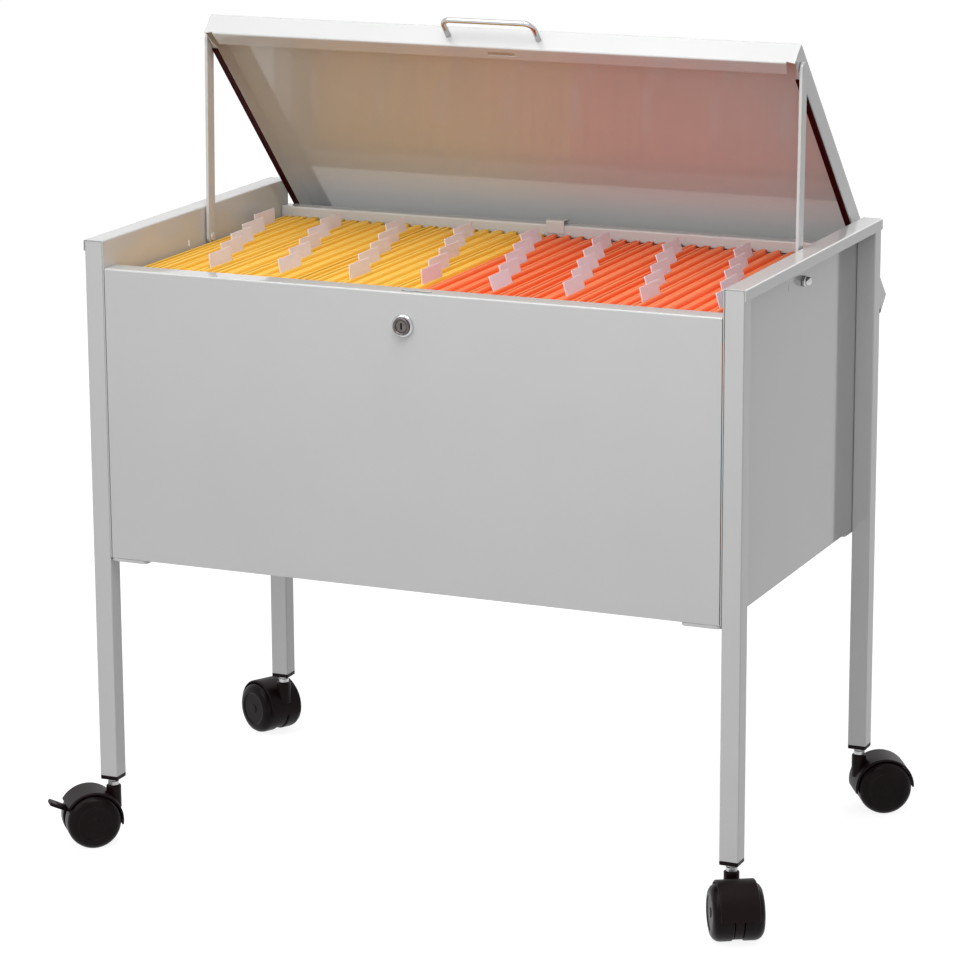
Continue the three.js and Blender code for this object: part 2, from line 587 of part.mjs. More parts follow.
// Twin-wheel casters, each drawn trailing towards +X and then turned to its heading
function addCaster(corner) {
  const group = new THREE.Group();
  group.position.set(corner.x * LEG_X, corner.y * LEG_Y, 0);
  group.rotation.z = degToRad(corner.heading);
  cart.add(group);
  const atWheel = (geometry) => geometry.translate(CASTER_TRAIL, 0, WHEEL_RADIUS);
  const prefix = corner.name + "_";

  const bossReach = BRAKE_BOSS_RADIUS + FIT;
  const webBack = BRAKE_ANGLE + THREE.MathUtils.radToDeg(Math.asin(bossReach / BRAKE_PIVOT));
  const hoodBack = corner.braked ? HOOD_BACK_BRAKED : HOOD_BACK;
  const shell = alongY(ringSector(HOOD_INNER, HOOD_OUTER, hoodBack, HOOD_FRONT), around(0, HOOD_HALF_WIDTH));
  const web = alongY(ringSector(0, HOOD_INNER + HOOD_WALL / 2, webBack, HOOD_FRONT), around(0, WEB_HALF));
  const hub = rodY(WEB_HUB_RADIUS, around(0, WEB_HALF), 0, 0);
  const wheelRoom = atWheel(rodY(HOOD_INNER + HOOD_WALL / 4, around(0, HOOD_HALF_WIDTH), 0, 0));
  const neck = cut(rodZ(NECK_RADIUS, [NECK_FOOT, NECK_TOP], 0, 0), wheelRoom);
  const axleHole = atWheel(rodY(AXLE_RADIUS + FIT, around(0, WEB_HALF + OVERCUT), 0, 0));
  const stemHole = rodZ(STEM_RADIUS + FIT, [STEM_FOOT - FIT, NECK_TOP + OVERCUT], 0, 0);
  const hood = cut(join(atWheel(shell), atWheel(web), atWheel(hub), neck), axleHole, stemHole);
  add(prefix + "hood", hood, "black_plastic", group);

  const stem = lathe([
    [0, STEM_FOOT],
    [STEM_RADIUS, STEM_FOOT],
    [STEM_RADIUS, NECK_TOP + FIT],
    [COLLAR_RADIUS, NECK_TOP + FIT],
    [COLLAR_RADIUS, PLUG_UNDER - FIT],
    [STEM_RADIUS, PLUG_UNDER - FIT],
    [STEM_RADIUS, PLUG_TOP + PLUG_DEPTH - STEM_END_GAP],
    [0, PLUG_TOP + PLUG_DEPTH - STEM_END_GAP],
  ]);
  add(prefix + "stem", stem.rotateX(Math.PI / 2), "zinc_steel", group);
  add(prefix + "axle", atWheel(rodY(AXLE_RADIUS, around(0, AXLE_HALF), 0, 0)), "zinc_steel", group);

  // The flats between a wheel's facets lie at its radius, so that it stands on one
  const rim = WHEEL_RADIUS / Math.cos(Math.PI / WHEEL_SEGMENTS);
  const bore = AXLE_RADIUS + FIT;
  const shoulderCut = WHEEL_SHOULDER * (1 - Math.SQRT1_2);
  const wheelProfile = [
    [0, AXLE_HALF + AXLE_END_GAP],
    [bore, AXLE_HALF + AXLE_END_GAP],
    [bore, WHEEL_INNER],
    [rim - WHEEL_CHAMFER, WHEEL_INNER],
    [rim, WHEEL_INNER + WHEEL_CHAMFER],
    [rim, WHEEL_OUTER - WHEEL_SHOULDER],
    [rim - shoulderCut, WHEEL_OUTER - shoulderCut],
    [rim - WHEEL_SHOULDER, WHEEL_OUTER],
    [WHEEL_DISH_RADIUS + WHEEL_DISH, WHEEL_OUTER],
    [WHEEL_DISH_RADIUS, WHEEL_OUTER - WHEEL_DISH],
    [0, WHEEL_OUTER - WHEEL_DISH],
  ];
  for (const [number, turn] of [[1, 0], [2, Math.PI]]) {
    const wheel = lathe(wheelProfile, WHEEL_SEGMENTS, Math.PI / WHEEL_SEGMENTS);
    add(prefix + "wheel_" + number, atWheel(wheel.rotateZ(turn)), "black_plastic", group);
  }

  if (!corner.braked) return;
  const boss = rodY(BRAKE_BOSS_RADIUS, around(0, BRAKE_TONGUE_HALF), BRAKE_PIVOT, 0);
  const tongueX = [BRAKE_PIVOT, (BRAKE_PEDAL_START + BRAKE_PEDAL_END) / 2];
  const tongue = block(tongueX, around(0, BRAKE_TONGUE_HALF), around(0, BRAKE_TONGUE / 2));
  const pedalX = [BRAKE_PEDAL_START, BRAKE_PEDAL_END];
  const pedal = block(pedalX, around(0, BRAKE_PEDAL_HALF), around(0, BRAKE_PEDAL / 2));
  const lever = join(boss, tongue, pedal).rotateY(-degToRad(BRAKE_ANGLE));
  add(prefix + "brake_lever", atWheel(lever), "black_plastic", group);
}

addLegs();
addSidePanels();
addBin();
addLock();
addFiles();
addStays();
addLid();
CORNERS.forEach(addCaster);

export default cart;
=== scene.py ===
# %% [markdown]
# # A mobile file cart
# The cart is a bin of painted sheet steel on four square legs with twin-wheel casters. Forty hanging files
# fill it, and its lid rides on two flat stays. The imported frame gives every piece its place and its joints.
# The cells below give each piece the shape that its making leaves, folded, turned or moulded, and its finish.

# %% Load the frame
import json
import math
import random

import bmesh
import bpy
from mathutils import Matrix, Vector


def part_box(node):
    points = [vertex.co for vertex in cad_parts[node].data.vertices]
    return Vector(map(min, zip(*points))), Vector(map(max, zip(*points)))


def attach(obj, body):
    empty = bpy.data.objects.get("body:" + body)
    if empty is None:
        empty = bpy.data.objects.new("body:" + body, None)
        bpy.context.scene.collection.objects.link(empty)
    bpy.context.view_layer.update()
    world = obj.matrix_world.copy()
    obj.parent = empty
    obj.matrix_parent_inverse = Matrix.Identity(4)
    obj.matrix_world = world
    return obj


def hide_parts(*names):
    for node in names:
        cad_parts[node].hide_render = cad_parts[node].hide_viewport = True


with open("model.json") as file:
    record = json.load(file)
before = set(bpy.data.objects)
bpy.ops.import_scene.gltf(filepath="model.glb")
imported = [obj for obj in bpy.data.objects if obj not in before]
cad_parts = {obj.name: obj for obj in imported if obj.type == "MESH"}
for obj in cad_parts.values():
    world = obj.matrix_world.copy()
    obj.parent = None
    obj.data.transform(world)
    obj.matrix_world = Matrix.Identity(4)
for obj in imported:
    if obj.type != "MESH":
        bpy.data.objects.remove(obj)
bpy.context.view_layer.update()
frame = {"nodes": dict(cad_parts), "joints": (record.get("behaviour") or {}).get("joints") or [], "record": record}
joints = {joint["name"]: joint for joint in frame["joints"]}

# %% [markdown]
# ## Camera
# The photograph was taken from the right of the cart's front with a long lens, a little above the lid. A lens
# shift could keep the legs upright, but it would push the cart out of the other views, so the camera tilts.

# %% Camera
VIEW_PLACE = (1.4797, -3.3967, 1.2801)
VIEW_TURN = 23.68
VIEW_DIP = 13.91
VIEW_ROLL = -0.29
VIEW_LENS = 143.2


def turn(degrees, axis):
    """A turn about one axis, as a matrix."""
    return Matrix.Rotation(math.radians(degrees), 4, axis)


view = bpy.data.cameras.new("photo_view")
view.lens = VIEW_LENS
camera = bpy.data.objects.new("photo_view", view)
aim = turn(VIEW_TURN, "Z") @ turn(90 - VIEW_DIP, "X") @ turn(VIEW_ROLL, "Z")
camera.matrix_world = Matrix.Translation(VIEW_PLACE) @ aim
bpy.context.scene.collection.objects.link(camera)
bpy.context.scene.camera = camera
print("camera:", round((camera.location.length), 2), "m from the cart's foot")

# %% [markdown]
# ## Finishes as Python sums
# A finish is a net of shader nodes. Clicking them together by hand is slow to read back, so a wire here is a
# Python value: `0.3 + 0.1 * clouds` adds the Math nodes itself. Every other node comes from one method.

# %% Wires and finishes
class Wire:
    """One socket of a finish. Used in a sum, it adds the Math node for that sum."""

    def __init__(self, finish, socket):
        self.finish = finish
        self.socket = socket

    def worked(self, operation, first, second):
        return self.finish.node("ShaderNodeMath", {"operation": operation}, {0: first, 1: second})

    def __add__(self, other):
        return self.worked("ADD", self, other)

    def __sub__(self, other):
        return self.worked("SUBTRACT", self, other)

    def __rsub__(self, other):
        return self.worked("SUBTRACT", other, self)

    def __mul__(self, other):
        return self.worked("MULTIPLY", self, other)

    __radd__ = __add__
    __rmul__ = __mul__


class Finish:
    """A material made of nodes, whose patterns lie on Object coordinates."""

    def __init__(self, name):
        self.material = bpy.data.materials.new(name)
        self.material.use_nodes = True
        self.tree = self.material.node_tree
        self.shader = self.tree.nodes["Principled BSDF"]
        self.place = self.node("ShaderNodeTexCoord", output="Object")

    def node(self, kind, settings=(), sockets=(), output=0):
        """Adds a node, with its settings set first, and gives back the wire of one output."""
        made = self.tree.nodes.new(kind)
        for name, value in dict(settings).items():
            setattr(made, name, value)
        for name, value in dict(sockets).items():
            self.feed(made.inputs[name], value)
        return Wire(self, made.outputs[output])

    def feed(self, socket, value):
        if isinstance(value, Wire):
            self.tree.links.new(value.socket, socket)
        else:
            socket.default_value = value

    def surface(self, values):
        """Sets or wires the main shader's sockets."""
        for name, value in values.items():
            self.feed(self.shader.inputs[name], value)

    def noise(self, size, detail=2.0, stretch=(1, 1, 1)):
        """Clouds of about the given size in metres, from 0 to 1."""
        spread = self.node("ShaderNodeVectorMath", {"operation": "MULTIPLY"}, {0: self.place, 1: stretch})
        return self.node("ShaderNodeTexNoise", {}, {"Vector": spread, "Scale": 1 / size, "Detail": detail})

    def steep(self, wire, low, high):
        """Spreads the part of a pattern between two levels over 0 to 1."""
        return self.node("ShaderNodeMapRange", {}, {"Value": wire, "From Min": low, "From Max": high})

    def mix(self, share, first, second):
        """Goes from the first colour to the second."""
        return self.node("ShaderNodeMix", {"data_type": "RGBA"}, {0: share, 6: first, 7: second}, output=2)

    def relief(self, height, depth):
        """Turns a pattern into small bumps, depth metres high."""
        return self.node("ShaderNodeBump", {}, {"Height": height, "Distance": depth})


def screen_colour(red, green, blue):
    """A colour in the 0 to 255 values of a screen, as the linear colour that a shader takes."""
    return tuple((level / 255) ** 2.2 for level in (red, green, blue)) + (1,)


print("finishes can be written as sums")

# %% [markdown]
# ## Powder coat
# The sheet steel has a light grey powder coat. It looks smooth, but up close the baked powder has a faint
# orange-peel skin, and its gloss varies a little where hands and cloths have been. Both come from noise of the
# right size: about 2 mm for the skin, and about 10 cm for the clouds.

# %% Powder coat
COAT_GREY = screen_colour(202, 203, 202)
COAT_SHADE = screen_colour(196, 197, 196)


def powder_coat():
    coat = Finish("powder_coat")
    clouds = coat.noise(0.11, 3)
    peel = coat.noise(0.0024)
    grit = coat.noise(0.0007, 1)
    coat.surface({
        "Base Color": coat.mix(clouds, COAT_GREY, COAT_SHADE),
        "Roughness": 0.06 + 0.05 * clouds + 0.015 * grit,
        "Normal": coat.relief(peel + 0.25 * grit, 0.0000025),
        "Specular IOR Level": 0.55,
    })
    return coat


coat = powder_coat()
print("powder coat:", len(coat.tree.nodes), "nodes")

# %% [markdown]
# ## Metals
# The lock's bezel, the handle and the dome nuts are chrome plated. The lock's barrel and plug are given a dark
# metal, a painted reflection: their dark colour stands in for the dark surroundings that chrome there mirrors. The
# caster stems and axles, the file rails and the lock's cam are zinc plated, which is duller and blotchy. Fine scuffs
# in the roughness keep them from looking like a mirror.

# %% Metals
def chrome_plate():
    chrome = Finish("chrome_plate")
    haze = chrome.noise(0.012, 3)
    scuffs = chrome.noise(0.0006, 2, (1, 1, 0.12))
    chrome.surface({
        "Base Color": chrome.mix(haze, (0.55, 0.55, 0.56, 1), (0.42, 0.42, 0.43, 1)),
        "Metallic": 1.0,
        "Roughness": 0.06 + 0.07 * haze + 0.05 * scuffs,
        "Normal": chrome.relief(scuffs, 0.000002),
    })
    return chrome


def metal_painted_dark():
    painted_dark_metal = Finish("metal_painted_dark")
    haze = painted_dark_metal.noise(0.004, 3)
    scuffs = painted_dark_metal.noise(0.0005, 2, (0.15, 1, 1))
    painted_dark_metal.surface({
        # Painted reflection: this dark base colour stands in for the dark surroundings that the lock's chrome
        # mirrors.
        "Base Color": painted_dark_metal.mix(haze, (0.2, 0.175, 0.17, 1), (0.09, 0.075, 0.075, 1)),
        "Metallic": 1.0,
        "Roughness": 0.14 + 0.1 * haze + 0.06 * scuffs,
        "Normal": painted_dark_metal.relief(scuffs, 0.000003),
    })
    return painted_dark_metal


def zinc_plate():
    zinc = Finish("zinc_plate")
    blotches = zinc.steep(zinc.noise(0.006, 3), 0.35, 0.65)
    grain = zinc.noise(0.0005, 2)
    zinc.surface({
        "Base Color": zinc.mix(blotches, (0.56, 0.57, 0.58, 1), (0.44, 0.44, 0.44, 1)),
        "Metallic": 1.0,
        "Roughness": 0.28 + 0.16 * blotches + 0.06 * grain,
        "Normal": zinc.relief(grain, 0.000006),
    })
    return zinc


chrome = chrome_plate()
painted_dark_metal = metal_painted_dark()
zinc = zinc_plate()
print("metals:", chrome.material.name, painted_dark_metal.material.name, zinc.material.name)

# %% [markdown]
# ## Black plastics
# The casters' hoods are moulded with a fine matt grain. The wheels are smoother and pick up a little dust. The
# lid's glide strips are an extruded black plastic with fine lines along their length, and their red cast is a
# painted reflection of the orange files.

# %% Black plastics
def moulded_black():
    black = Finish("moulded_black")
    grain = black.noise(0.0005, 2)
    haze = black.noise(0.018, 3)
    black.surface({
        "Base Color": black.mix(haze, (0.0055, 0.002, 0.0024, 1), (0.0095, 0.0042, 0.0048, 1)),
        "Roughness": 0.34 + 0.12 * haze + 0.06 * grain,
        "Normal": black.relief(grain, 0.000014),
        "Specular IOR Level": 0.1,
    })
    return black


def wheel_black():
    black = Finish("wheel_black")
    dust = black.steep(black.noise(0.014, 4), 0.5, 0.8)
    grain = black.noise(0.0004, 1)
    black.surface({
        "Base Color": black.mix(dust, (0.0045, 0.0018, 0.0021, 1), (0.0105, 0.0068, 0.0072, 1)),
        "Roughness": 0.3 + 0.18 * dust + 0.05 * grain,
        "Normal": black.relief(grain, 0.000008),
        "Specular IOR Level": 0.1,
    })
    return black


def glide_black():
    black = Finish("glide_black")
    lines = black.noise(0.0006, 1, (1, 0.03, 0.03))
    black.surface({
        # Painted reflection: the red cast of this base colour stands in for the orange files that the strips mirror.
        "Base Color": black.mix(lines, (0.026, 0.0006, 0.0012, 1), (0.036, 0.001, 0.0018, 1)),
        "Roughness": 0.5 + 0.14 * lines,
        "Normal": black.relief(lines, 0.00002),
        "Specular IOR Level": 0.06,
    })
    return black


hood_black = moulded_black()
tyre_black = wheel_black()
strip_black = glide_black()
print("black plastics:", hood_black.material.name, tyre_black.material.name, strip_black.material.name)

# %% [markdown]
# ## Card and tabs
# A hanging file is coloured card. Card has short fibres that lie mostly along the sheet, so its noise is drawn
# out along the files, and no two sheets are quite the same shade. Its colour turns paler along the top, where the
# card wraps its rods: a painted highlight on those wraps. The tabs are milky clear plastic.

# %% Card and tabs
FILE_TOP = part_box("file_rail_rear")[1].z + 0.004


def file_card(name, fresh, worn, rod_highlight):
    card = Finish(name)
    fibres = card.noise(0.0008, 3, (1, 0.08, 0.3))
    shade = card.noise(0.016, 2, (1, 0.1, 0.1))
    height = card.node("ShaderNodeSeparateXYZ", {}, {0: card.place}, output="Z")
    # Painted highlight: the top 2 mm of each card, where it wraps its rods, turns to a paler colour.
    highlight_share = card.steep(height, FILE_TOP - 0.0024, FILE_TOP - 0.0004)
    plain = card.mix(0.6 * shade + 0.4 * fibres, fresh, worn)
    card.surface({
        "Base Color": card.mix(0.5 * highlight_share + 0.2 * highlight_share * fibres, plain, rod_highlight),
        "Roughness": 0.5 + 0.2 * fibres,
        "Normal": card.relief(fibres, 0.00004),
    })
    return card


def milky_plastic():
    plastic = Finish("milky_plastic")
    cloud = plastic.noise(0.01, 2)
    plastic.surface({
        "Base Color": plastic.mix(cloud, screen_colour(251, 246, 255), screen_colour(243, 236, 249)),
        "Roughness": 0.24 + 0.16 * cloud,
        "Transmission Weight": 0.1,
        "Normal": plastic.relief(cloud, 0.00004),
    })
    return plastic


# Each card's last colour is its painted highlight along the tops of the rods.
cards = {
    "yellow": file_card(
        "yellow_card", screen_colour(254, 200, 58), screen_colour(246, 182, 40), screen_colour(255, 216, 112)
    ),
    "orange": file_card(
        "orange_card", screen_colour(255, 108, 42), screen_colour(246, 94, 32), screen_colour(255, 158, 112)
    ),
}
tab_plastic = milky_plastic()
print("cards:", ", ".join(cards))

# %% [markdown]
# ## Floor and light
# The photograph has a white studio round the cart. The floor is a pale sheet that adds just enough glow of its
# own to reach white, and still darkens under the cart. Four large soft lamps light the cart from above, in front
# and behind, and a small one shines into the bin, at a level where a colour comes out about as it is written.
# The front lamp stands low, so it is kept out of mirror images, where it would bleach the closed lid from behind.

# %% Floor and light
FLOOR_SIZE = 30.0
SKY_LEVEL = 0.42
LAMPS = {
    "key": {"at": (-2.2, -3.2, 3.4), "size": 2.6, "watts": 47},
    "top": {"at": (-0.9, -0.55, 3.5), "size": 2.2, "watts": 25},
    "bin": {"at": (0.22, -0.6, 1.45), "size": 0.6, "watts": 5.2},
    "front": {"at": (0.9, -4.6, 1.3), "size": 2.4, "watts": 46},
    "back": {"at": (0.8, 3.6, 2.4), "size": 2.4, "watts": 26},
}
AIM_AT = Vector((0, 0, 0.45))


def seen(finish):
    """1 where a ray comes straight from the camera, or by a mirror or clear plastic, and else 0."""
    path = [finish.node("ShaderNodeLightPath", output="Is " + kind + " Ray") for kind in ("Camera", "Glossy")]
    clear = finish.node("ShaderNodeLightPath", output="Is Transmission Ray")
    return path[0].worked("MAXIMUM", path[0], path[1]).worked("MAXIMUM", path[0] + path[1], clear)


def studio_floor():
    pale = Finish("studio_floor")
    drift = pale.noise(0.9, 2)
    tint = pale.mix(drift, (0.27, 0.27, 0.27, 1), (0.25, 0.25, 0.25, 1))
    lit = pale.node("ShaderNodeBsdfDiffuse", {}, {"Color": tint})
    soft = pale.node("ShaderNodeBsdfDiffuse", {}, {"Color": (0.35, 0.35, 0.35, 1)})
    glow = pale.node("ShaderNodeEmission", {}, {"Color": (1, 1, 1, 1), "Strength": 0.86})
    white = pale.node("ShaderNodeAddShader", {}, {0: soft, 1: glow})
    both = pale.node("ShaderNodeMixShader", {}, {0: seen(pale), 1: lit, 2: white})
    pale.feed(pale.tree.nodes["Material Output"].inputs["Surface"], both)
    return pale


ground = bmesh.new()
bmesh.ops.create_grid(ground, x_segments=2, y_segments=2, size=FLOOR_SIZE / 2)
floor_mesh = bpy.data.meshes.new("studio_floor")
ground.to_mesh(floor_mesh)
floor_mesh.materials.append(studio_floor().material)
floor = bpy.data.objects.new("studio_floor", floor_mesh)
bpy.context.scene.collection.objects.link(floor)

for name, lamp in LAMPS.items():
    light = bpy.data.lights.new(name, "AREA")
    light.size = lamp["size"]
    light.energy = lamp["watts"]
    stand = bpy.data.objects.new(name, light)
    stand.location = lamp["at"]
    stand.rotation_euler = (AIM_AT - Vector(lamp["at"])).to_track_quat("-Z", "Y").to_euler()
    stand.visible_glossy = name != "front"
    bpy.context.scene.collection.objects.link(stand)
print("lamps:", ", ".join(LAMPS))

# %% Sky
class Sky(Finish):
    """The world's nodes, built in the same way as a finish."""

    def __init__(self, world):
        world.use_nodes = True
        self.tree = world.node_tree


world = bpy.data.worlds.new("studio")
bpy.context.scene.world = world
sky = Sky(world)
shown = seen(sky)
sky.feed(sky.tree.nodes["Background"].inputs["Color"], (1, 1, 1, 1))
sky.feed(sky.tree.nodes["Background"].inputs["Strength"], SKY_LEVEL + (1 - SKY_LEVEL) * shown)
bpy.context.scene.view_settings.view_transform = "Standard"
print("sky level for light:", SKY_LEVEL)

# %% [markdown]
# ## Shapes and pieces
# A few shapes make most of the cart: a block, a turned piece, as from a lathe, and a folded sheet. Each gives back
# a bmesh, which can be moved, joined to others and then made into a piece that rides on its body. A small
# Bevel on every sharp edge gives it the thin highlight that a real edge has.

# %% Shapes
def block(low, high):
    """A block between two corners."""
    size = [b - a for a, b in zip(low, high)]
    middle = [(a + b) / 2 for a, b in zip(low, high)]
    shape = bmesh.new()
    bmesh.ops.create_cube(shape, size=1, matrix=Matrix.Translation(middle) @ Matrix.Diagonal((*size, 1)))
    shape.normal_update()
    return shape


def edges_along(shape, axis):
    """The edges that run along X, Y or Z (0, 1 or 2)."""
    return [e for e in shape.edges if abs((e.verts[1].co - e.verts[0].co).normalized()[axis]) > 0.999]


def rounded(shape, corners, radius, segments=4, affect="EDGES"):
    """Rounds edges, or the corners of a line."""
    bmesh.ops.bevel(
        shape, geom=corners, offset=radius, offset_type="OFFSET", affect=affect, segments=segments,
        profile=0.5, material=-1, clamp_overlap=True,
    )
    return shape


def turned(outline, steps=48, closed=False):
    """A lathe piece about Z. Each outline point is a radius, a height and how far its corner is rounded."""
    shape = bmesh.new()
    points = [shape.verts.new((radius, 0, height)) for radius, height, _ in outline]
    for pair in zip(points, points[1:]):
        shape.edges.new(pair)
    if closed:
        shape.edges.new((points[-1], points[0]))
    for point, (_, _, corner) in zip(points, outline):
        if corner:
            rounded(shape, [point], corner, 4, "VERTICES")
    line = shape.verts[:] + shape.edges[:]
    bmesh.ops.spin(
        shape, geom=line, cent=(0, 0, 0), axis=(0, 0, 1), angle=2 * math.pi, steps=steps, use_merge=True
    )
    bmesh.ops.remove_doubles(shape, verts=shape.verts, dist=1e-7)
    bmesh.ops.recalc_face_normals(shape, faces=shape.faces)
    return shape


def placed(shape, *moves):
    """Moves a shape by matrices, the last one first."""
    for move in reversed(moves):
        bmesh.ops.transform(shape, matrix=move, verts=shape.verts)
    return shape


def joined(*shapes):
    """Several shapes as one."""
    whole = bmesh.new()
    for shape in shapes:
        carrier = bpy.data.meshes.new("carrier")
        shape.to_mesh(carrier)
        shape.free()
        whole.from_mesh(carrier)
        bpy.data.meshes.remove(carrier)
    return whole


print("shapes: block, turned")

# %% Pieces
SHARP = math.radians(35)
SOFT_EDGE = 0.0002


def add_piece(name, shape, finish, body, nodes=(), soft_edge=SOFT_EDGE):
    """Makes a shape into a piece of the cart that rides on a body and stands for CAD nodes."""
    mesh = bpy.data.meshes.new(name)
    shape.to_mesh(mesh)
    shape.free()
    mesh.shade_smooth()
    mesh.set_sharp_from_angle(angle=SHARP)
    mesh.materials.append(finish.material)
    piece = bpy.data.objects.new(name, mesh)
    bpy.context.scene.collection.objects.link(piece)
    if soft_edge:
        edge = piece.modifiers.new("soft_edge", "BEVEL")
        edge.limit_method = "ANGLE"
        edge.angle_limit = SHARP
        edge.width = soft_edge
        edge.segments = 2
    flat = piece.modifiers.new("flat_faces", "WEIGHTED_NORMAL")
    flat.keep_sharp = True
    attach(piece, body)
    if nodes:
        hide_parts(*nodes)
    return piece


print("edges turned by more than", round(math.degrees(SHARP)), "degrees are softened")

# %% [markdown]
# ## Folded sheet
# A press brake bends flat sheet along straight lines. The same can be done here: draw the line of the fold's
# outline, pull it out into a strip, punch any slots, round the folds and give the strip its thickness. The wall
# grows away from the face side, so the outside keeps its size.

# %% Folded sheet
SHEET = 0.001
BEND = 0.0018


def punched(shape, low, high):
    """Cuts a rectangular slot where the sheet passes through a box."""
    for axis in range(3):
        for level in (low[axis], high[axis]):
            normal = Vector((0, 0, 0))
            normal[axis] = 1
            touched = [
                face for face in shape.faces
                if all(min(v.co[i] for v in face.verts) <= high[i] + SHEET for i in range(3))
                and all(max(v.co[i] for v in face.verts) >= low[i] - SHEET for i in range(3))
            ]
            edges = list({edge for face in touched for edge in face.edges})
            verts = list({vert for face in touched for vert in face.verts})
            bmesh.ops.bisect_plane(shape, geom=verts + edges + touched, plane_co=normal * level, plane_no=normal)
    inside = [
        face for face in shape.faces
        if all(low[i] <= face.calc_center_median()[i] <= high[i] for i in range(3))
    ]
    bmesh.ops.delete(shape, geom=inside, context="FACES")


def folds_of(shape):
    """Edges where the sheet turns a corner."""
    shape.normal_update()
    return [e for e in shape.edges if len(e.link_faces) == 2 and e.calc_face_angle(0) > SHARP]


def folded_sheet(corners, pull, faces, slots=()):
    """A strip of sheet with its outline's corners as folds; faces is the way that its first face looks."""
    strip = bmesh.new()
    points = [strip.verts.new(corner) for corner in corners]
    line = [strip.edges.new(pair) for pair in zip(points, points[1:])]
    far = bmesh.ops.extrude_edge_only(strip, edges=line)["geom"]
    bmesh.ops.translate(strip, vec=pull, verts=[v for v in far if isinstance(v, bmesh.types.BMVert)])
    strip.normal_update()
    if points[0].link_faces[0].normal.dot(Vector(faces)) < 0:
        bmesh.ops.reverse_faces(strip, faces=strip.faces)
    for low, high in slots:
        punched(strip, low, high)
    rounded(strip, folds_of(strip), BEND)
    bmesh.ops.solidify(strip, geom=strip.faces[:], thickness=SHEET)
    return strip


print("sheet:", SHEET * 1000, "mm thick, bent to", BEND * 1000, "mm")

# %% [markdown]
# ## Legs, plugs and brackets
# Each leg is a square tube with rounded corners. A block with rounded upright edges, opened at its ends and
# given a wall, is just that. A black plug closes its foot, and a plate with a screw carries the bin's corner.

# %% Legs, plugs and brackets
CORNERS = ("front_left", "front_right", "rear_right", "rear_left")
TUBE_CORNER = 0.0013
TUBE_WALL = 0.0015
PLUG_FLANGE = 0.004
PLUG_EDGE = 0.0009
PLUG_INSET = TUBE_WALL + 0.0003
BRACKET_CORNER = 0.005
SCREW_RADIUS = 0.0042
SCREW_HEAD = 0.0022


def square_tube(low, high):
    tube = block(low, high)
    rounded(tube, edges_along(tube, 2), TUBE_CORNER)
    ends = [face for face in tube.faces if abs(face.normal.z) > 0.9]
    bmesh.ops.delete(tube, geom=ends, context="FACES")
    tube.normal_update()
    bmesh.ops.solidify(tube, geom=tube.faces[:], thickness=TUBE_WALL)
    return tube


def foot_plug(low, high):
    flange = block(low, (high.x, high.y, low.z + PLUG_FLANGE))
    rounded(flange, edges_along(flange, 2), TUBE_CORNER)
    rim = [e for e in flange.edges if all(abs(v.co.z - low.z) < 1e-6 for v in e.verts)]
    rounded(flange, rim, PLUG_EDGE, 3)
    inset = Vector((PLUG_INSET, PLUG_INSET, 0))
    return joined(flange, block(low + inset, high - inset))


def bracket_plate(low, high):
    plate = block(low, high)
    rounded(plate, edges_along(plate, 2), BRACKET_CORNER)
    screw = turned([(0, -SCREW_HEAD, 0), (SCREW_RADIUS, -SCREW_HEAD, 0.0014), (SCREW_RADIUS, 0, 0), (0, 0, 0)], 24)
    middle = (low + high) / 2
    return joined(plate, placed(screw, Matrix.Translation((middle.x, middle.y, low.z))))


for corner in CORNERS:
    leg = square_tube(*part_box("leg_" + corner))
    add_piece("tube_leg_" + corner, leg, coat, "frame", ["leg_" + corner])
    plug = foot_plug(*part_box("plug_" + corner))
    add_piece("foot_plug_" + corner, plug, hood_black, "frame", ["plug_" + corner])
    plate = bracket_plate(*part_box("bracket_" + corner))
    add_piece("bin_bracket_" + corner, plate, coat, "frame", ["bracket_" + corner])
print("legs:", len(CORNERS))

# %% [markdown]
# ## Bin
# The side sheets stand inside the legs, fold over their tops as the side rails and turn down outside. The front
# and rear sheets fold in at the top and down again, which stiffens the edge that hands lean on. Each is one
# folded strip, so its rail, flange and lip really are one piece.

# %% Bin panels
RAIL_SKIRT = 0.011
FLANGE_LIP = 0.012
SPARE_AHEAD = 0.041
SPARE_HALF = Vector((0.001, 0.0012, 0.003))
CAM_SLOT_X = (-0.005, 0.0262)
CAM_SLOT_BACK = 0.0093
CAM_SLOT_HALF = 0.0025
stay_pivot = Vector(joints["lid_lift"]["pos_m"])


def side_sheet(low, high, sign):
    inner, outer = (low.x, high.x) if sign > 0 else (high.x, low.x)
    outline = [(inner, low.z), (inner, high.z), (outer, high.z), (outer, high.z - RAIL_SKIRT)]
    spare = Vector((inner, stay_pivot.y - SPARE_AHEAD, stay_pivot.z))
    return folded_sheet(
        [(x, low.y, z) for x, z in outline], (0, high.y - low.y, 0), (-sign, 0, 0),
        [(spare - SPARE_HALF, spare + SPARE_HALF)],
    )


def end_sheet(low, high, outer, inner, slots=()):
    outline = [(outer, low.z), (outer, high.z), (inner, high.z), (inner, high.z - FLANGE_LIP)]
    return folded_sheet(
        [(low.x, y, z) for y, z in outline], (high.x - low.x, 0, 0), (0, outer - inner, 0), slots
    )


for side, sign in (("left", -1), ("right", 1)):
    sheet = side_sheet(*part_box("side_panel_" + side), sign)
    add_piece("side_sheet_" + side, sheet, coat, "frame", ["side_panel_" + side])

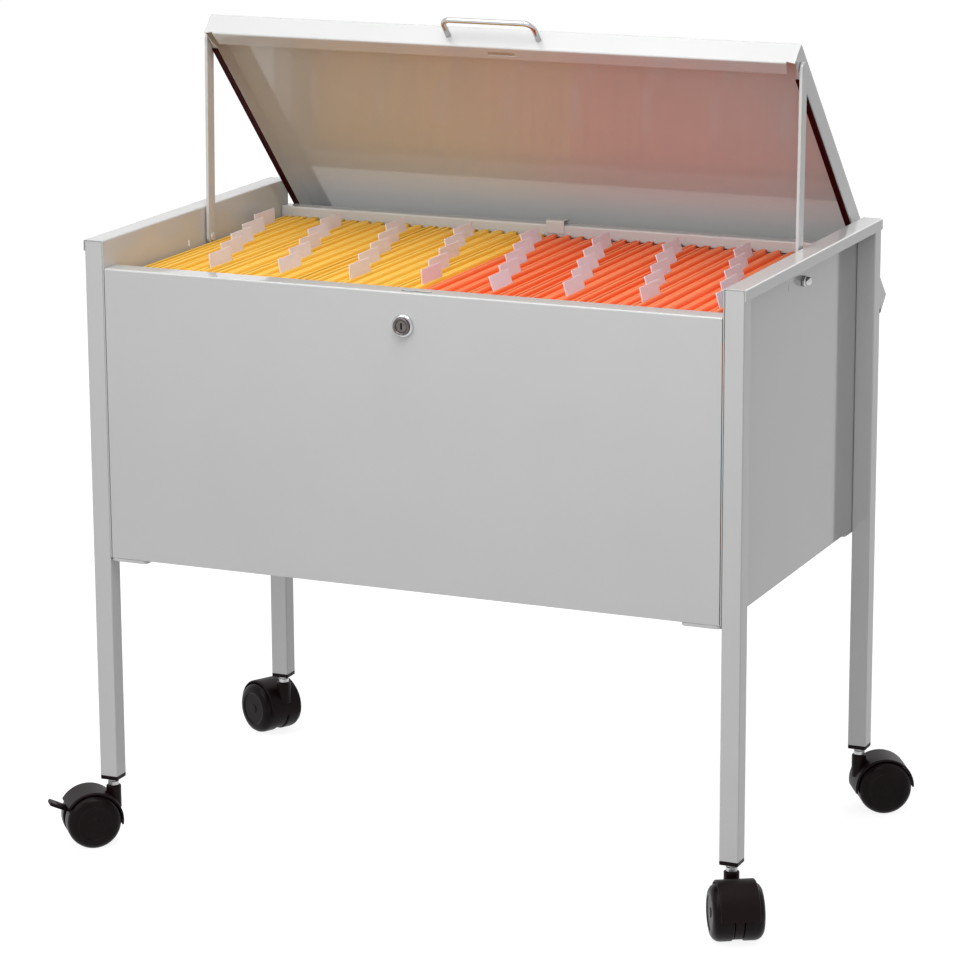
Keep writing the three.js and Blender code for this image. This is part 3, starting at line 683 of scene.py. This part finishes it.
low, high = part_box("front_panel")
slot_y = low.y + CAM_SLOT_BACK
cam_slot = (
    Vector((CAM_SLOT_X[0], slot_y - CAM_SLOT_HALF, high.z - SHEET)),
    Vector((CAM_SLOT_X[1], slot_y + CAM_SLOT_HALF, high.z + SHEET)),
)
sheet = end_sheet(low, high, low.y, high.y, [cam_slot])
add_piece("front_sheet", sheet, coat, "frame", ["front_panel"])
low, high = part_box("rear_panel")
add_piece("rear_sheet", end_sheet(low, high, high.y, low.y), coat, "frame", ["rear_panel"])


def dressed(node, finish):
    """Gives a CAD node that is kept as it is a better finish."""
    for place in frame["nodes"][node].material_slots:
        place.material = finish.material


dressed("bin_floor", coat)

# %% [markdown]
# ## File rails and stop clip
# The files hang on two flat zinc-plated rails behind the flanges. A small folded clip sits over the rear flange,
# where it stops the lid. It is a strip with three folds: a front plate, a top, and a foot behind.

# %% File rails and stop clip
RAIL_EDGE = 0.0006
CLIP_DROP = 0.0088
CLIP_RISE = 0.0048

for end in ("front", "rear"):
    bar = block(*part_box("file_rail_" + end))
    rounded(bar, edges_along(bar, 0), RAIL_EDGE, 3)
    add_piece("rail_bar_" + end, bar, zinc, "frame", ["file_rail_" + end])

low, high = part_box("rear_clip")
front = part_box("rear_panel")[0].y - SHEET - 0.0001
flange_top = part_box("rear_panel")[1].z
top = flange_top + CLIP_RISE
outline = [(front, flange_top - CLIP_DROP), (front, top), (high.y, top), (high.y, flange_top + SHEET / 4)]
clip = folded_sheet([(low.x, y, z) for y, z in outline], (high.x - low.x, 0, 0), (0, -1, 0))
add_piece("stop_clip", clip, coat, "frame", ["rear_clip"])
print("clip stands", CLIP_RISE * 1000, "mm above the flange")

# %% [markdown]
# ## Lock
# The lock's chrome bezel lies round a dark barrel, which holds a recessed plug with a keyway. Bezel and barrel are
# turned. The plug is a turned disc whose face is cut by four planes, so that the slot in its middle can be
# pushed in.

# %% Lock
BEZEL_REACH = 0.0055
BEZEL_FOOT = 0.0003
PLUG_RADIUS = 0.0058
PLUG_SUNK = 0.0013
KEYWAY_HALF = (0.0007, 0.0034)
KEYWAY_DEPTH = 0.004
lock_axis = Vector(joints["lock_turn"]["pos_m"])
facing_front = Matrix.Translation(lock_axis) @ turn(90, "X")


def bezel():
    return turned([
        (0.0087, BEZEL_FOOT, 0),
        (0.011, BEZEL_FOOT, 0),
        (0.011, 0.0013, 0.0005),
        (0.0096, 0.0024, 0.0008),
        (0.0087, 0.0028, 0),
    ], 64, closed=True)


def lock_barrel():
    return turned([
        (0.006, BEZEL_FOOT, 0),
        (0.0086, BEZEL_FOOT, 0),
        (0.0083, BEZEL_REACH, 0.0007),
        (0.0071, BEZEL_REACH, 0.0004),
        (0.0065, BEZEL_REACH - 0.0009, 0.0003),
        (0.006, BEZEL_REACH - 0.0009, 0),
    ], 64, closed=True)


def key_plug():
    face = BEZEL_REACH - PLUG_SUNK
    plug = turned([(0, -0.004, 0), (PLUG_RADIUS, -0.004, 0), (PLUG_RADIUS, face, 0.0005), (0, face, 0)])
    fan = [f for f in plug.faces if f.normal.z > 0.99]
    bmesh.ops.dissolve_faces(plug, faces=fan)
    for axis in (0, 1):
        for sign in (-1, 1):
            normal = Vector((0, 0, 0))
            normal[axis] = 1
            faces = [f for f in plug.faces if f.normal.z > 0.99]
            edges = list({e for f in faces for e in f.edges})
            verts = list({v for f in faces for v in f.verts})
            level = normal * sign * KEYWAY_HALF[axis]
            bmesh.ops.bisect_plane(plug, geom=verts + edges + faces, plane_co=level, plane_no=normal)
    slot = [
        f for f in plug.faces
        if f.normal.z > 0.99 and all(abs(f.calc_center_median()[i]) < KEYWAY_HALF[i] for i in (0, 1))
    ]
    floor_of_slot = bmesh.ops.extrude_face_region(plug, geom=slot)["geom"]
    sunk = [v for v in floor_of_slot if isinstance(v, bmesh.types.BMVert)]
    bmesh.ops.translate(plug, vec=(0, 0, -KEYWAY_DEPTH), verts=sunk)
    bmesh.ops.delete(plug, geom=slot, context="FACES")
    return plug


add_piece("lock_bezel", placed(bezel(), facing_front), chrome, "frame", ["lock_housing"])
add_piece("lock_barrel", placed(lock_barrel(), facing_front), painted_dark_metal, "frame")
add_piece("key_plug", placed(key_plug(), facing_front), painted_dark_metal, "lock", ["lock_plug"])
print("lock stands", BEZEL_REACH * 1000, "mm proud")

# %% [markdown]
# ## Hanging files
# A hanging file is one sheet of card folded into a deep V, with each top edge wrapped round a flat rod whose
# ends lie on the rails. Side by side, two rods of neighbouring files make one ridge. Each file is folded as the
# sheets of the bin are, and none hangs quite like the next, so each gets a small seeded shift.

# %% Hanging files
FILE_PITCH = 0.0152
FILES_PER_SET = 5
ROD_HALF = 0.0007
CARD = 0.0004
HEM = 0.013
FILE_DEPTH = 0.236
CARD_END = 0.009
BULGE = ((0.0056, 0.0042), (0.007, 0.0105), (0.0073, 0.03))
ROD_SPREADS = {"yellow": (0.0016, 0.0032), "orange": (0.0013, 0.0024)}
draws = random.Random(40)


def hanging_file(middle, spread, top, front, rear):
    """One file: a folded card and its two rods, between the rails at front and rear."""
    wrap = ROD_HALF + CARD
    half = [(spread - wrap, HEM), (spread - wrap, 0), (spread + wrap, 0), *BULGE]
    outline = [(-x, depth) for x, depth in half] + [(0, FILE_DEPTH)] + half[::-1]
    card = bmesh.new()
    points = [card.verts.new((middle + x, front + CARD_END, top - depth)) for x, depth in outline]
    line = [card.edges.new(pair) for pair in zip(points, points[1:])]
    far = bmesh.ops.extrude_edge_only(card, edges=line)["geom"]
    pull = (0, rear - front - 2 * CARD_END, 0)
    bmesh.ops.translate(card, vec=pull, verts=[v for v in far if isinstance(v, bmesh.types.BMVert)])
    card.normal_update()
    card.faces.ensure_lookup_table()
    if card.faces[0].normal.x < 0:
        bmesh.ops.reverse_faces(card, faces=card.faces)
    rounded(card, folds_of(card), wrap * 0.9, 3)
    bmesh.ops.solidify(card, geom=card.faces[:], thickness=CARD)
    bars = [
        block((middle + x - ROD_HALF, front, top - 0.0036), (middle + x + ROD_HALF, rear, top - CARD * 1.2))
        for x in (-spread, spread)
    ]
    return joined(card, *bars)


def add_file_set(colour, number):
    """Five files of one colour. Gives back where the right rod of each lies."""
    node = f"{colour}_files_{number}"
    low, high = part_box(node)
    files = []
    rods = []
    for place in range(FILES_PER_SET):
        middle = low.x + (place + 0.5) * FILE_PITCH + draws.uniform(-0.0004, 0.0004)
        spread = draws.uniform(*ROD_SPREADS[colour])
        files.append(hanging_file(middle, spread, FILE_TOP + draws.uniform(-0.0004, 0.0002), low.y, high.y))
        rods.append(middle + spread)
    add_piece(f"{colour}_set_{number}", joined(*files), cards[colour], "frame", [node], None)
    return rods


rod_places = {(colour, number): add_file_set(colour, number) for colour in cards for number in range(1, 5)}
print("files:", len(rod_places) * FILES_PER_SET)

# %% [markdown]
# ## Tabs
# Each file has a clear tab on its right rod, one step further forward than the one before, so that all of a set
# can be read at once. A tab is a thin plate with rounded upper corners. It leans to the left, as far as the file
# before it allows, and the first one stands up straight so that the lid's edge can pass it.

# %% Tabs
TAB_LENGTH = 0.046
TAB_HEIGHT = 0.0142
TAB_ROOT = 0.003
TAB_STEP = 0.05425
TAB_REAR_GAP = 0.0387
TAB_HALF = 0.0005
TAB_CORNER = 0.001
TAB_LEANS = {"yellow": (-12, -3), "orange": (-21, -11)}
LID_EDGE_ROOM = -0.3074


def tab(x, y, top, lean):
    plate = block((-TAB_HALF, 0, -TAB_ROOT), (TAB_HALF, TAB_LENGTH, TAB_HEIGHT))
    upper = [e for e in edges_along(plate, 0) if e.verts[0].co.z > 0]
    rounded(plate, upper, TAB_CORNER)
    return placed(plate, Matrix.Translation((x, y, top)), turn(lean, "Y"))


def add_tab_set(colour, number):
    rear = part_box("file_rail_rear")[0].y
    tabs = []
    for place, x in enumerate(rod_places[colour, number]):
        y = rear - TAB_REAR_GAP - TAB_LENGTH - place * TAB_STEP + draws.uniform(-0.002, 0.002)
        lean = draws.uniform(*TAB_LEANS[colour])
        if x + TAB_HEIGHT * math.sin(math.radians(lean)) < LID_EDGE_ROOM:
            lean = 2
        tabs.append(tab(x, y, FILE_TOP, lean))
    add_piece(f"{colour}_tabs_{number}", joined(*tabs), tab_plastic, "frame")


for colour, number in rod_places:
    add_tab_set(colour, number)
print("tabs:", len(rod_places) * FILES_PER_SET)

# %% [markdown]
# ## Stays and dome nuts
# The stays are flat bars with round ends. Rounding the four end edges of a block by half its width gives the
# round ends. Each turns on a bolt through the side sheet, with a painted head inside and a chrome dome nut
# outside.

# %% Stays and dome nuts
STAY_WIDTH = 0.014
STAY_OUTER = 0.3179
STAY_INNER = 0.3149
RIVET_RADIUS = 0.0042
lid_pivot = Vector(joints["lid_tilt"]["pos_m"])
arm = lid_pivot - stay_pivot
stay_angle = math.degrees(math.atan2(arm.z, arm.y))


def flat_stay():
    """A right-hand stay, lying along Y from its lower pivot."""
    half = STAY_WIDTH / 2
    bar = block((STAY_INNER, -half, -half), (STAY_OUTER, arm.length + half, half))
    rounded(bar, edges_along(bar, 0), half * 0.995, 8)
    rivet = turned([(0, -0.0042, 0), (0.003, -0.0042, 0), (0.003, 0, 0), (RIVET_RADIUS, 0, 0), (0, 0.0009, 0)], 24)
    return joined(bar, placed(rivet, Matrix.Translation((STAY_OUTER, arm.length, 0)), turn(90, "Y")))


def bolt_head():
    """The right-hand bolt's head, inside the stay."""
    face = STAY_INNER - 0.0019
    foot = STAY_INNER - 0.0003
    return placed(turned([(0, face, 0), (0.0044, face, 0.0008), (0.0044, foot, 0), (0, foot, 0)], 40), turn(90, "Y"))


def dome_nut():
    """The right-hand bolt along X, with a dome nut outside the sheet."""
    sheet_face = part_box("pivot_bolt_right")[1].x - 0.009
    dome = turned([
        (0, STAY_INNER - 0.0003, 0),
        (0.003, STAY_INNER - 0.0003, 0),
        (0.003, sheet_face, 0),
        (0.0055, sheet_face, 0.0004),
        (0.0055, sheet_face + 0.0032, 0.0006),
        (0.0047, sheet_face + 0.0036, 0),
        (0.0047, sheet_face + 0.0088, 0.0044),
        (0, sheet_face + 0.0088, 0),
    ], 40)
    return placed(dome, turn(90, "Y"))


for side, sign in (("left", -1), ("right", 1)):
    mirror = Matrix.Diagonal((sign, 1, 1, 1))
    pivot = Matrix.Translation((0, stay_pivot.y, stay_pivot.z))
    stay = placed(flat_stay(), pivot, turn(stay_angle, "X"), mirror)
    bolt = placed(dome_nut(), pivot, mirror)
    head = placed(bolt_head(), pivot, mirror)
    for shape in (stay, bolt, head):
        bmesh.ops.recalc_face_normals(shape, faces=shape.faces)
    add_piece("flat_stay_" + side, stay, coat, side + "_stay", ["stay_" + side])
    add_piece("dome_nut_" + side, bolt, chrome, "frame", ["pivot_bolt_" + side])
    add_piece("bolt_head_" + side, head, coat, "frame")
print("stay:", round(arm.length, 4), "m between pivots, standing at", round(stay_angle, 1), "degrees")

# %% [markdown]
# ## Lid
# The lid is one blank folded into a shallow tray. It starts here as its flat top, lying closed with the upper
# stay pivot at the origin. Each edge is pulled down into a wall, and the front and side walls are turned in
# as lips. The walls aren't joined at the corners, which leaves the open seams that show on the real lid.

# %% Lid
LID_LENGTH = 0.405
LID_HALF = 0.314
LID_HEIGHT = 0.025
PIVOT_BACK = 0.017
PIVOT_DROP = 0.018
FRONT_LIP = 0.017
LIP_SHORT = 0.009
SIDE_LIP = 0.006
GLIDE_HEIGHT = 0.0017
GLIDE_INSET = 0.026
SEAM = 0.0005
LIP_SLOT = ((-0.005, 0.0236), (0.0068, 0.0118))
lid_front = -PIVOT_BACK
lid_rear = lid_front + LID_LENGTH
lid_top = PIVOT_DROP
lid_under = lid_top - LID_HEIGHT
side_under = lid_under + GLIDE_HEIGHT + 0.0003

followed = next(c for c in frame["record"]["behaviour"]["couplings"] if "lid_tilt" in c.values())
lid_angle = joints["lid_lift"]["range_deg"][1] * (1 + followed["ratio"])
lid_place = Matrix.Translation((0, lid_pivot.y, lid_pivot.z)) @ turn(-lid_angle, "X")


def pulled(shape, edge, move, ends=(0, 0), along=0):
    """Pulls an edge out into a face, and draws the new edge's two ends in along an axis."""
    new = bmesh.ops.extrude_edge_only(shape, edges=[edge])["geom"]
    corners = sorted((v for v in new if isinstance(v, bmesh.types.BMVert)), key=lambda v: v.co[along])
    bmesh.ops.translate(shape, vec=move, verts=corners)
    for corner, shift in zip(corners, ends):
        corner.co[along] += shift
    return next(e for e in new if isinstance(e, bmesh.types.BMEdge) and set(e.verts) == set(corners))


def middle_of(edge, short):
    """Splits an edge at the same distance from both of its ends, and gives its middle part."""
    length = edge.calc_length()
    new = bmesh.utils.edge_split(edge, edge.verts[0], short / length)[1]
    rest = max(new.link_edges, key=lambda e: e.calc_length())
    last = bmesh.utils.edge_split(rest, rest.other_vert(new), short / rest.calc_length())[1]
    return next(e for e in last.link_edges if new in e.verts)


def lid_tray():
    tray = bmesh.new()
    middle = Matrix.Translation((0, (lid_front + lid_rear) / 2, lid_top))
    bmesh.ops.create_grid(
        tray, x_segments=1, y_segments=1, size=0.5, matrix=middle @ Matrix.Diagonal((2 * LID_HALF, LID_LENGTH, 1, 1))
    )
    for edge in tray.edges[:]:
        spot = (edge.verts[0].co + edge.verts[1].co) / 2
        if abs(spot.x) < 1e-6:
            wall = pulled(tray, edge, (0, 0, -LID_HEIGHT), (SEAM, -SEAM), 0)
            if spot.y < 0:
                pulled(tray, middle_of(wall, LIP_SHORT), (0, FRONT_LIP, 0), (0.002, -0.002), 0)
        else:
            wall = pulled(tray, edge, (0, 0, side_under - lid_top), (SHEET + SEAM, -SHEET - SEAM), 1)
            inward = -math.copysign(SIDE_LIP, spot.x)
            pulled(tray, wall, (inward, 0, 0), (GLIDE_INSET, 0), 1)
    tray.normal_update()
    top = max(tray.faces, key=lambda f: f.calc_area())
    if top.normal.z < 0:
        bmesh.ops.reverse_faces(tray, faces=tray.faces)
    slot_x, slot_y = LIP_SLOT
    low = Vector((slot_x[0], lid_front + slot_y[0], lid_under - SHEET / 2))
    high = Vector((slot_x[1], lid_front + slot_y[1], lid_under + SHEET / 2))
    punched(tray, low, high)
    rounded(tray, folds_of(tray), BEND)
    bmesh.ops.solidify(tray, geom=tray.faces[:], thickness=SHEET)
    return tray


add_piece("lid_tray", placed(lid_tray(), lid_place), coat, "lid_assembly", ["lid"])
print("lid opens to", round(lid_angle, 1), "degrees")

# %% [markdown]
# ## Handle and glide strips
# The handle is a bar bent into a bow. A ring is pulled straight, spun round each bend and pulled on again. The
# glide strips are pressed on under the lid's side lips, with a groove along their middle.

# %% Handle and glide strips
HANDLE_HALF = 0.048
HANDLE_REACH = 0.0266
HANDLE_BAR = 0.0028
HANDLE_BEND = 0.009
HANDLE_DROP = 0.0125


def bow_handle():
    foot = lid_front - 0.0003
    grip = foot - HANDLE_REACH + HANDLE_BAR
    bar = bmesh.new()
    start = Matrix.Translation((-HANDLE_HALF, foot, 0)) @ turn(90, "X")
    bmesh.ops.create_circle(bar, segments=20, radius=HANDLE_BAR, matrix=start)
    ring = bar.edges[:]
    runs = (
        ((0, grip + HANDLE_BEND - foot, 0), (-HANDLE_HALF + HANDLE_BEND, grip + HANDLE_BEND)),
        ((2 * (HANDLE_HALF - HANDLE_BEND), 0, 0), (HANDLE_HALF - HANDLE_BEND, grip + HANDLE_BEND)),
        ((0, foot - grip - HANDLE_BEND, 0), None),
    )
    for run, bend in runs:
        new = bmesh.ops.extrude_edge_only(bar, edges=ring)["geom"]
        bmesh.ops.translate(bar, vec=run, verts=[v for v in new if isinstance(v, bmesh.types.BMVert)])
        verts = {v for v in new if isinstance(v, bmesh.types.BMVert)}
        ring = [e for e in new if isinstance(e, bmesh.types.BMEdge) and set(e.verts) <= verts]
        if bend:
            spun = bmesh.ops.spin(
                bar, geom=list(verts) + ring, cent=(*bend, 0), axis=(0, 0, 1), angle=math.pi / 2, steps=8
            )["geom_last"]
            ring = [e for e in spun if isinstance(e, bmesh.types.BMEdge)]
    bmesh.ops.holes_fill(bar, edges=[e for e in bar.edges if e.is_boundary])
    bmesh.ops.recalc_face_normals(bar, faces=bar.faces)
    return placed(bar, Matrix.Translation((0, 0, lid_top - HANDLE_DROP)))


def glide_strip(sign):
    near, far = LID_HALF - SIDE_LIP, LID_HALF
    xs = sorted((sign * near, sign * far))
    strip = block((xs[0], lid_front + GLIDE_INSET, lid_under), (xs[1], lid_rear - 0.0013, lid_under + GLIDE_HEIGHT))
    under = [f for f in strip.faces if f.normal.z < -0.9]
    bmesh.ops.inset_individual(strip, faces=under, thickness=0.0018)
    bmesh.ops.translate(strip, vec=(0, 0, 0.0006), verts=list({v for f in under for v in f.verts}))
    return strip


add_piece("bow_handle", placed(bow_handle(), lid_place), chrome, "lid_assembly", ["handle"])
for side, sign in (("left", -1), ("right", 1)):
    strip = placed(glide_strip(sign), lid_place)
    add_piece("glide_" + side, strip, strip_black, "lid_assembly", ["glide_strip_" + side])
print("handle:", 2 * HANDLE_HALF * 1000, "mm between its feet")

# %% [markdown]
# ## Casters
# A twin-wheel caster is drawn trailing along X, with its swivel axis at the origin, and then turned to its
# heading. Where each caster trails is read from the joints: its wheels' axle lies off its swivel axis. The
# hood is a strip spun round the axle, and the wheels and stem are turned.

# %% Caster parts
WHEEL_RADIUS = 0.0275
WHEEL_SHOULDER = 0.0085
HOOD_INNER = 0.0285
HOOD_OUTER = 0.0305
HOOD_HALF = 0.019
HOOD_FRONT = 190
HOOD_BACK_BRAKED = 32
WEB_HALF = 0.004
WEB_RADIUS = 0.0262
WEB_RADIUS_BRAKED = 0.015
NECK_RADIUS = 0.0075
NECK_FOOT = 0.036
NECK_TOP = 0.0592
COLLAR_RADIUS = 0.0056
STEM_FOOT = 0.05


def spun_strip(inner, outer, half, start, end, edge):
    """A strip of a ring round the axle at the origin, from one angle to another, over the top."""
    middle = Matrix.Translation(((inner + outer) / 2, 0, 0))
    strip = bmesh.new()
    bmesh.ops.create_grid(
        strip, x_segments=1, y_segments=1, size=0.5, matrix=middle @ Matrix.Diagonal((outer - inner, 2 * half, 1, 1))
    )
    rounded(strip, [v for v in strip.verts if v.co.x > (inner + outer) / 2], edge, 4, "VERTICES")
    placed(strip, turn(-start, "Y"))
    section = strip.verts[:] + strip.edges[:] + strip.faces[:]
    bmesh.ops.spin(
        strip, geom=section, cent=(0, 0, 0), axis=(0, -1, 0), angle=math.radians(end - start), steps=40
    )
    bmesh.ops.recalc_face_normals(strip, faces=strip.faces)
    return strip


def caster_hood(trail, braked):
    """The hood over both wheels, the web between them and the neck round the stem."""
    at_axle = Matrix.Translation((trail, 0, WHEEL_RADIUS))
    back = HOOD_BACK_BRAKED if braked else 0
    shell = placed(spun_strip(HOOD_INNER, HOOD_OUTER, HOOD_HALF, back, HOOD_FRONT, 0.0016), at_axle)
    web = placed(spun_strip(0.003, HOOD_INNER + 0.0005, WEB_HALF, max(back, 38), HOOD_FRONT, 0.0001), at_axle)
    radius = WEB_RADIUS_BRAKED if braked else WEB_RADIUS
    disc = turned([(0.0032, -WEB_HALF, 0), (radius, -WEB_HALF, 0), (radius, WEB_HALF, 0), (0.0032, WEB_HALF, 0)], 48, True)
    neck = turned([
        (0, NECK_FOOT, 0), (NECK_RADIUS, NECK_FOOT, 0), (NECK_RADIUS, NECK_TOP, 0.001), (0, NECK_TOP, 0)
    ], 40)
    return joined(shell, web, placed(disc, at_axle, turn(90, "X")), neck)


def caster_stem(plug_under):
    top = plug_under + 0.02
    return turned([
        (0, STEM_FOOT, 0),
        (0.004, STEM_FOOT, 0),
        (0.004, NECK_TOP + 0.0003, 0),
        (COLLAR_RADIUS, NECK_TOP + 0.0003, 0.0006),
        (COLLAR_RADIUS, NECK_TOP + 0.0046, 0.0006),
        (0.0044, NECK_TOP + 0.0046, 0),
        (0.0044, plug_under - 0.0003, 0),
        (0.004, plug_under - 0.0003, 0),
        (0.004, top, 0),
        (0, top, 0),
    ], 32)


def caster_wheel():
    """A wheel on the +Y side of the web, about the axle at the origin."""
    wheel = turned([
        (0, 0.005, 0),
        (WHEEL_RADIUS, 0.005, 0.0016),
        (WHEEL_RADIUS, 0.025, WHEEL_SHOULDER),
        (0.0172, 0.025, 0.0008),
        (0.0164, 0.0241, 0.0006),
        (0.0052, 0.0241, 0.0005),
        (0.0046, 0.0249, 0.0006),
        (0, 0.0249, 0),
    ], 72)
    return placed(wheel, turn(-90, "X"))


print("caster wheel:", 2000 * WHEEL_RADIUS, "mm across")

# %% Caster placing
BRAKE_ANGLE = 25
BRAKE_PIVOT = 0.0197
PEDAL_START = 0.032
PEDAL_END = 0.0465


def brake_lever():
    """The lever's boss, tongue and pedal, along X from the axle at the origin."""
    boss = placed(turned([
        (0, -0.0035, 0), (0.004, -0.0035, 0.0005), (0.004, 0.0035, 0.0005), (0, 0.0035, 0)
    ], 32), Matrix.Translation((BRAKE_PIVOT, 0, 0)), turn(90, "X"))
    tongue = block((BRAKE_PIVOT, -0.0035, -0.0025), (0.0385, 0.0035, 0.0025))
    pedal = block((PEDAL_START, -0.008, -0.00175), (PEDAL_END, 0.008, 0.00175))
    rounded(pedal, edges_along(pedal, 2), 0.003)
    rounded(pedal, [e for e in pedal.edges if e.calc_face_angle(0) > SHARP], 0.0008, 3)
    return joined(boss, tongue, pedal)


for corner in CORNERS:
    swivel = Vector(joints[corner + "_swivel"]["pos_m"])
    axle = Vector(joints[corner + "_roll_1"]["pos_m"])
    offset = (axle - swivel).to_2d()
    heading = math.degrees(math.atan2(offset.y, offset.x))
    place = Matrix.Translation((swivel.x, swivel.y, 0)) @ turn(heading, "Z")
    at_axle = place @ Matrix.Translation((offset.length, 0, WHEEL_RADIUS))
    braked = corner == "front_left"
    body = corner + "_caster"
    hood = placed(caster_hood(offset.length, braked), place)
    add_piece(corner + "_shroud", hood, hood_black, body, [corner + "_hood"])
    stem = placed(caster_stem(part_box("plug_" + corner)[0].z), place)
    add_piece(corner + "_pintle", stem, zinc, body, [corner + "_stem"])
    for number in (1, 2):
        wheel = placed(caster_wheel(), at_axle, turn(180 * (number - 1), "Z"))
        node = f"{corner}_wheel_{number}"
        add_piece(f"{corner}_tyre_{number}", wheel, tyre_black, f"{corner}_roller_{number}", [node])
    dressed(corner + "_axle", zinc)
    if braked:
        lever = placed(brake_lever(), at_axle, turn(-BRAKE_ANGLE, "Y"))
        add_piece("brake_pedal", lever, hood_black, "front_left_brake", ["front_left_brake_lever"])
    print(corner, "caster trails at", round(heading), "degrees")

dressed("lock_cam", zinc)
